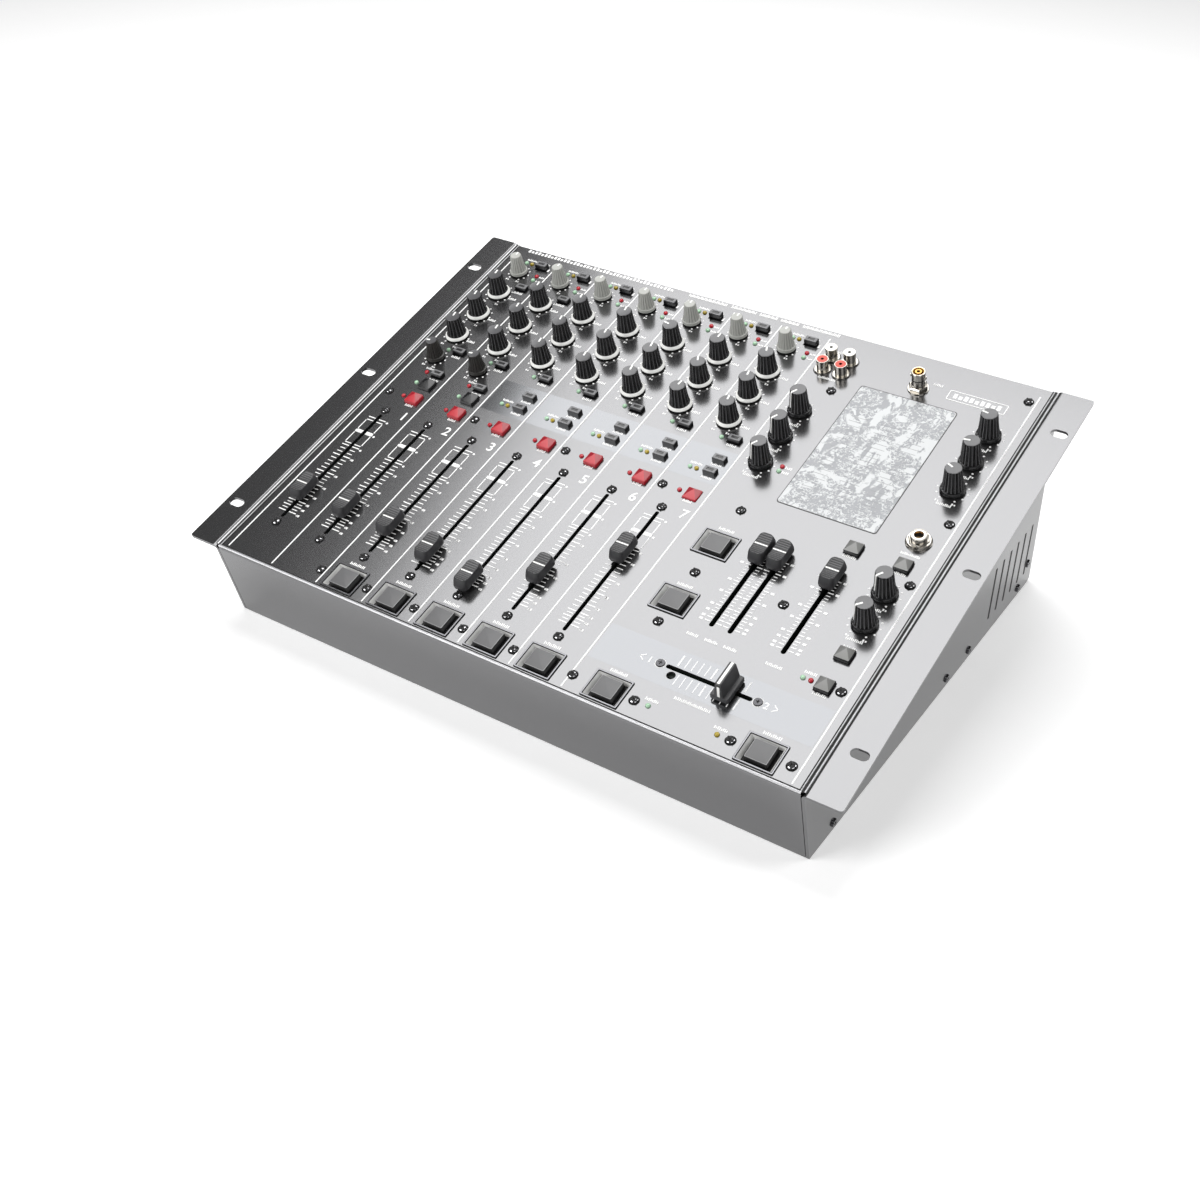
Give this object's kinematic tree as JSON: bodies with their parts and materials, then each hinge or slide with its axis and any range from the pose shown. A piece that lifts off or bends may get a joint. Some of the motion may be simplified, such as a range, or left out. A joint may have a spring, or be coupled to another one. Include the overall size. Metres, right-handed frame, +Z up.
{
  "type": "dj mixer",
  "caption": "Sloping desk mixer with rack ears: channel strips of rotary tone controls, push buttons and sliding faders, a crossfader, meter window, lamp and headphone sockets.",
  "frame": {"origin": "centre of the flat bottom face, on the surface it stands on", "axes": "+X to the player's right, +Y to the back, +Z up"},
  "size_m": [0.4826, 0.3609, 0.1634],
  "materials": {
    "case_paint": "satin charcoal powder coat",
    "pan_paint": "satin black powder coat",
    "meter_film": "clear acrylic under pale protective film",
    "circuit_board": "solder-masked board and parts",
    "socket_metal": "nickel plated",
    "black_screw": "black oxide",
    "bezel_plastic": "moulded ABS",
    "pad_plastic": "moulded ABS",
    "button_plastic": "moulded ABS",
    "knob_plastic": "moulded ABS",
    "gain_knob_plastic": "moulded ABS",
    "fader_plastic": "moulded ABS"
  },
  "bodies": {
    "case": {"top_panel": "case_paint", "left_side_plate": "case_paint", "right_side_plate": "case_paint", "bottom_pan": "pan_paint", "meter_window": "meter_film", "circuit_board": "circuit_board", "sockets": "socket_metal", "screws": "black_screw", "pad_bezels": "bezel_plastic"},
    "gain_knob_1": {"gain_knob_1": "gain_knob_plastic"},
    "gain_knob_2": {"gain_knob_2": "gain_knob_plastic"},
    "gain_knob_3": {"gain_knob_3": "gain_knob_plastic"},
    "gain_knob_4": {"gain_knob_4": "gain_knob_plastic"},
    "gain_knob_5": {"gain_knob_5": "gain_knob_plastic"},
    "gain_knob_6": {"gain_knob_6": "gain_knob_plastic"},
    "gain_knob_7": {"gain_knob_7": "gain_knob_plastic"},
    "high_knob_1": {"high_knob_1": "knob_plastic"},
    "high_knob_2": {"high_knob_2": "knob_plastic"},
    "high_knob_3": {"high_knob_3": "knob_plastic"},
    "high_knob_4": {"high_knob_4": "knob_plastic"},
    "high_knob_5": {"high_knob_5": "knob_plastic"},
    "high_knob_6": {"high_knob_6": "knob_plastic"},
    "high_knob_7": {"high_knob_7": "knob_plastic"},
    "mid_knob_1": {"mid_knob_1": "knob_plastic"},
    "mid_knob_2": {"mid_knob_2": "knob_plastic"},
    "mid_knob_3": {"mid_knob_3": "knob_plastic"},
    "mid_knob_4": {"mid_knob_4": "knob_plastic"},
    "mid_knob_5": {"mid_knob_5": "knob_plastic"},
    "mid_knob_6": {"mid_knob_6": "knob_plastic"},
    "mid_knob_7": {"mid_knob_7": "knob_plastic"},
    "low_knob_1": {"low_knob_1": "knob_plastic"},
    "low_knob_2": {"low_knob_2": "knob_plastic"},
    "low_knob_3": {"low_knob_3": "knob_plastic"},
    "low_knob_4": {"low_knob_4": "knob_plastic"},
    "low_knob_5": {"low_knob_5": "knob_plastic"},
    "low_knob_6": {"low_knob_6": "knob_plastic"},
    "low_knob_7": {"low_knob_7": "knob_plastic"},
    "pan_knob_1": {"pan_knob_1": "knob_plastic"},
    "pan_knob_2": {"pan_knob_2": "knob_plastic"},
    "effect_level_knob": {"effect_level_knob": "knob_plastic"},
    "booth_level_knob": {"booth_level_knob": "knob_plastic"},
    "record_level_knob": {"record_level_knob": "knob_plastic"},
    "microphone_high_knob": {"microphone_high_knob": "knob_plastic"},
    "microphone_low_knob": {"microphone_low_knob": "knob_plastic"},
    "microphone_level_knob": {"microphone_level_knob": "knob_plastic"},
    "cue_mix_knob": {"cue_mix_knob": "knob_plastic"},
    "phones_level_knob": {"phones_level_knob": "knob_plastic"},
    "channel_fader_1": {"channel_fader_1": "fader_plastic"},
    "channel_fader_2": {"channel_fader_2": "fader_plastic"},
    "channel_fader_3": {"channel_fader_3": "fader_plastic"},
    "channel_fader_4": {"channel_fader_4": "fader_plastic"},
    "channel_fader_5": {"channel_fader_5": "fader_plastic"},
    "channel_fader_6": {"channel_fader_6": "fader_plastic"},
    "channel_fader_7": {"channel_fader_7": "fader_plastic"},
    "main_left_fader": {"main_left_fader": "fader_plastic"},
    "main_right_fader": {"main_right_fader": "fader_plastic"},
    "monitor_fader": {"monitor_fader": "fader_plastic"},
    "crossfader": {"crossfader": "fader_plastic"},
    "push_buttons": {"push_buttons": "button_plastic"},
    "pad_caps": {"pad_caps": "pad_plastic"}
  },
  "joints": [
    {"name": "gain_1_turn", "type": "hinge", "parent": "case", "child": "gain_knob_1", "pos_m": [-0.1949, 0.129, 0.14661], "axis": [0, -0.2656, 0.9641], "range_deg": [-150, 150]},
    {"name": "gain_2_turn", "type": "hinge", "parent": "case", "child": "gain_knob_2", "pos_m": [-0.1568, 0.129, 0.14661], "axis": [0, -0.2656, 0.9641], "range_deg": [-150, 150]},
    {"name": "gain_3_turn", "type": "hinge", "parent": "case", "child": "gain_knob_3", "pos_m": [-0.1187, 0.129, 0.14661], "axis": [0, -0.2656, 0.9641], "range_deg": [-150, 150]},
    {"name": "gain_4_turn", "type": "hinge", "parent": "case", "child": "gain_knob_4", "pos_m": [-0.0806, 0.129, 0.14661], "axis": [0, -0.2656, 0.9641], "range_deg": [-150, 150]},
    {"name": "gain_5_turn", "type": "hinge", "parent": "case", "child": "gain_knob_5", "pos_m": [-0.0425, 0.129, 0.14661], "axis": [0, -0.2656, 0.9641], "range_deg": [-150, 150]},
    {"name": "gain_6_turn", "type": "hinge", "parent": "case", "child": "gain_knob_6", "pos_m": [-0.0044, 0.129, 0.14661], "axis": [0, -0.2656, 0.9641], "range_deg": [-150, 150]},
    {"name": "gain_7_turn", "type": "hinge", "parent": "case", "child": "gain_knob_7", "pos_m": [0.0337, 0.129, 0.14661], "axis": [0, -0.2656, 0.9641], "range_deg": [-150, 150]},
    {"name": "high_1_turn", "type": "hinge", "parent": "case", "child": "high_knob_1", "pos_m": [-0.1949, 0.10316, 0.1395], "axis": [0, -0.2656, 0.9641], "range_deg": [-160, 140]},
    {"name": "high_2_turn", "type": "hinge", "parent": "case", "child": "high_knob_2", "pos_m": [-0.1568, 0.10316, 0.1395], "axis": [0, -0.2656, 0.9641], "range_deg": [-160, 140]},
    {"name": "high_3_turn", "type": "hinge", "parent": "case", "child": "high_knob_3", "pos_m": [-0.1187, 0.10316, 0.1395], "axis": [0, -0.2656, 0.9641], "range_deg": [-160, 140]},
    {"name": "high_4_turn", "type": "hinge", "parent": "case", "child": "high_knob_4", "pos_m": [-0.0806, 0.10316, 0.1395], "axis": [0, -0.2656, 0.9641], "range_deg": [-160, 140]},
    {"name": "high_5_turn", "type": "hinge", "parent": "case", "child": "high_knob_5", "pos_m": [-0.0425, 0.10316, 0.1395], "axis": [0, -0.2656, 0.9641], "range_deg": [-230, 70]},
    {"name": "high_6_turn", "type": "hinge", "parent": "case", "child": "high_knob_6", "pos_m": [-0.0044, 0.10316, 0.1395], "axis": [0, -0.2656, 0.9641], "range_deg": [-150, 150]},
    {"name": "high_7_turn", "type": "hinge", "parent": "case", "child": "high_knob_7", "pos_m": [0.0337, 0.10316, 0.1395], "axis": [0, -0.2656, 0.9641], "range_deg": [-170, 130]},
    {"name": "mid_1_turn", "type": "hinge", "parent": "case", "child": "mid_knob_1", "pos_m": [-0.1949, 0.07732, 0.13238], "axis": [0, -0.2656, 0.9641], "range_deg": [-160, 140]},
    {"name": "mid_2_turn", "type": "hinge", "parent": "case", "child": "mid_knob_2", "pos_m": [-0.1568, 0.07732, 0.13238], "axis": [0, -0.2656, 0.9641], "range_deg": [-160, 140]},
    {"name": "mid_3_turn", "type": "hinge", "parent": "case", "child": "mid_knob_3", "pos_m": [-0.1187, 0.07732, 0.13238], "axis": [0, -0.2656, 0.9641], "range_deg": [-160, 140]},
    {"name": "mid_4_turn", "type": "hinge", "parent": "case", "child": "mid_knob_4", "pos_m": [-0.0806, 0.07732, 0.13238], "axis": [0, -0.2656, 0.9641], "range_deg": [-160, 140]},
    {"name": "mid_5_turn", "type": "hinge", "parent": "case", "child": "mid_knob_5", "pos_m": [-0.0425, 0.07732, 0.13238], "axis": [0, -0.2656, 0.9641], "range_deg": [-160, 140]},
    {"name": "mid_6_turn", "type": "hinge", "parent": "case", "child": "mid_knob_6", "pos_m": [-0.0044, 0.07732, 0.13238], "axis": [0, -0.2656, 0.9641], "range_deg": [-175, 125]},
    {"name": "mid_7_turn", "type": "hinge", "parent": "case", "child": "mid_knob_7", "pos_m": [0.0337, 0.07732, 0.13238], "axis": [0, -0.2656, 0.9641], "range_deg": [-160, 140]},
    {"name": "low_1_turn", "type": "hinge", "parent": "case", "child": "low_knob_1", "pos_m": [-0.1949, 0.05149, 0.12526], "axis": [0, -0.2656, 0.9641], "range_deg": [-160, 140]},
    {"name": "low_2_turn", "type": "hinge", "parent": "case", "child": "low_knob_2", "pos_m": [-0.1568, 0.05149, 0.12526], "axis": [0, -0.2656, 0.9641], "range_deg": [-160, 140]},
    {"name": "low_3_turn", "type": "hinge", "parent": "case", "child": "low_knob_3", "pos_m": [-0.1187, 0.05149, 0.12526], "axis": [0, -0.2656, 0.9641], "range_deg": [-160, 140]},
    {"name": "low_4_turn", "type": "hinge", "parent": "case", "child": "low_knob_4", "pos_m": [-0.0806, 0.05149, 0.12526], "axis": [0, -0.2656, 0.9641], "range_deg": [-160, 140]},
    {"name": "low_5_turn", "type": "hinge", "parent": "case", "child": "low_knob_5", "pos_m": [-0.0425, 0.05149, 0.12526], "axis": [0, -0.2656, 0.9641], "range_deg": [-160, 140]},
    {"name": "low_6_turn", "type": "hinge", "parent": "case", "child": "low_knob_6", "pos_m": [-0.0044, 0.05149, 0.12526], "axis": [0, -0.2656, 0.9641], "range_deg": [-145, 155]},
    {"name": "low_7_turn", "type": "hinge", "parent": "case", "child": "low_knob_7", "pos_m": [0.0337, 0.05149, 0.12526], "axis": [0, -0.2656, 0.9641], "range_deg": [-160, 140]},
    {"name": "pan_1_turn", "type": "hinge", "parent": "case", "child": "pan_knob_1", "pos_m": [-0.1949, 0.02565, 0.11814], "axis": [0, -0.2656, 0.9641], "range_deg": [-250, 50]},
    {"name": "pan_2_turn", "type": "hinge", "parent": "case", "child": "pan_knob_2", "pos_m": [-0.1568, 0.02565, 0.11814], "axis": [0, -0.2656, 0.9641], "range_deg": [-250, 50]},
    {"name": "effect_level_turn", "type": "hinge", "parent": "case", "child": "effect_level_knob", "pos_m": [0.0724, 0.07742, 0.1324], "axis": [0, -0.2656, 0.9641], "range_deg": [-300, 0]},
    {"name": "booth_level_turn", "type": "hinge", "parent": "case", "child": "booth_level_knob", "pos_m": [0.0724, 0.05158, 0.12529], "axis": [0, -0.2656, 0.9641], "range_deg": [-300, 0]},
    {"name": "record_level_turn", "type": "hinge", "parent": "case", "child": "record_level_knob", "pos_m": [0.0724, 0.02574, 0.11817], "axis": [0, -0.2656, 0.9641], "range_deg": [-300, 0]},
    {"name": "microphone_high_turn", "type": "hinge", "parent": "case", "child": "microphone_high_knob", "pos_m": [0.1936, 0.10326, 0.13952], "axis": [0, -0.2656, 0.9641], "range_deg": [-230, 70]},
    {"name": "microphone_low_turn", "type": "hinge", "parent": "case", "child": "microphone_low_knob", "pos_m": [0.1936, 0.07742, 0.1324], "axis": [0, -0.2656, 0.9641], "range_deg": [-250, 50]},
    {"name": "microphone_level_turn", "type": "hinge", "parent": "case", "child": "microphone_level_knob", "pos_m": [0.1936, 0.05149, 0.12526], "axis": [0, -0.2656, 0.9641], "range_deg": [-215, 85]},
    {"name": "cue_mix_turn", "type": "hinge", "parent": "case", "child": "cue_mix_knob", "pos_m": [0.1936, -0.04039, 0.09995], "axis": [0, -0.2656, 0.9641], "range_deg": [-295, 5]},
    {"name": "phones_level_turn", "type": "hinge", "parent": "case", "child": "phones_level_knob", "pos_m": [0.1936, -0.06546, 0.09305], "axis": [0, -0.2656, 0.9641], "range_deg": [-285, 15]},
    {"name": "channel_fader_1_slide", "type": "slide", "parent": "case", "child": "channel_fader_1", "axis": [0, 0.9641, 0.2656], "range_m": [-0.0203, 0.0797]},
    {"name": "channel_fader_2_slide", "type": "slide", "parent": "case", "child": "channel_fader_2", "axis": [0, 0.9641, 0.2656], "range_m": [-0.0194, 0.0806]},
    {"name": "channel_fader_3_slide", "type": "slide", "parent": "case", "child": "channel_fader_3", "axis": [0, 0.9641, 0.2656], "range_m": [-0.019, 0.081]},
    {"name": "channel_fader_4_slide", "type": "slide", "parent": "case", "child": "channel_fader_4", "axis": [0, 0.9641, 0.2656], "range_m": [-0.0112, 0.0888]},
    {"name": "channel_fader_5_slide", "type": "slide", "parent": "case", "child": "channel_fader_5", "axis": [0, 0.9641, 0.2656], "range_m": [-0.0022, 0.0978]},
    {"name": "channel_fader_6_slide", "type": "slide", "parent": "case", "child": "channel_fader_6", "axis": [0, 0.9641, 0.2656], "range_m": [-0.027, 0.073]},
    {"name": "channel_fader_7_slide", "type": "slide", "parent": "case", "child": "channel_fader_7", "axis": [0, 0.9641, 0.2656], "range_m": [-0.0641, 0.0359]},
    {"name": "main_left_fader_slide", "type": "slide", "parent": "case", "child": "main_left_fader", "axis": [0, 0.9641, 0.2656], "range_m": [-0.06, 0]},
    {"name": "main_right_fader_slide", "type": "slide", "parent": "case", "child": "main_right_fader", "axis": [0, 0.9641, 0.2656], "range_m": [-0.06, 0]},
    {"name": "monitor_fader_slide", "type": "slide", "parent": "case", "child": "monitor_fader", "axis": [0, 0.9641, 0.2656], "range_m": [-0.06, 0]},
    {"name": "crossfader_slide", "type": "slide", "parent": "case", "child": "crossfader", "axis": [1, 0, 0], "range_m": [-0.035, 0.0095]},
    {"name": "push_buttons_press", "type": "slide", "parent": "case", "child": "push_buttons", "axis": [0, -0.2656, 0.9641], "range_m": [-0.002, 0], "stiffness_N_per_m": 8000},
    {"name": "pad_caps_press", "type": "slide", "parent": "case", "child": "pad_caps", "axis": [0, -0.2656, 0.9641], "range_m": [-0.0015, 0], "stiffness_N_per_m": 3600}
  ]
}
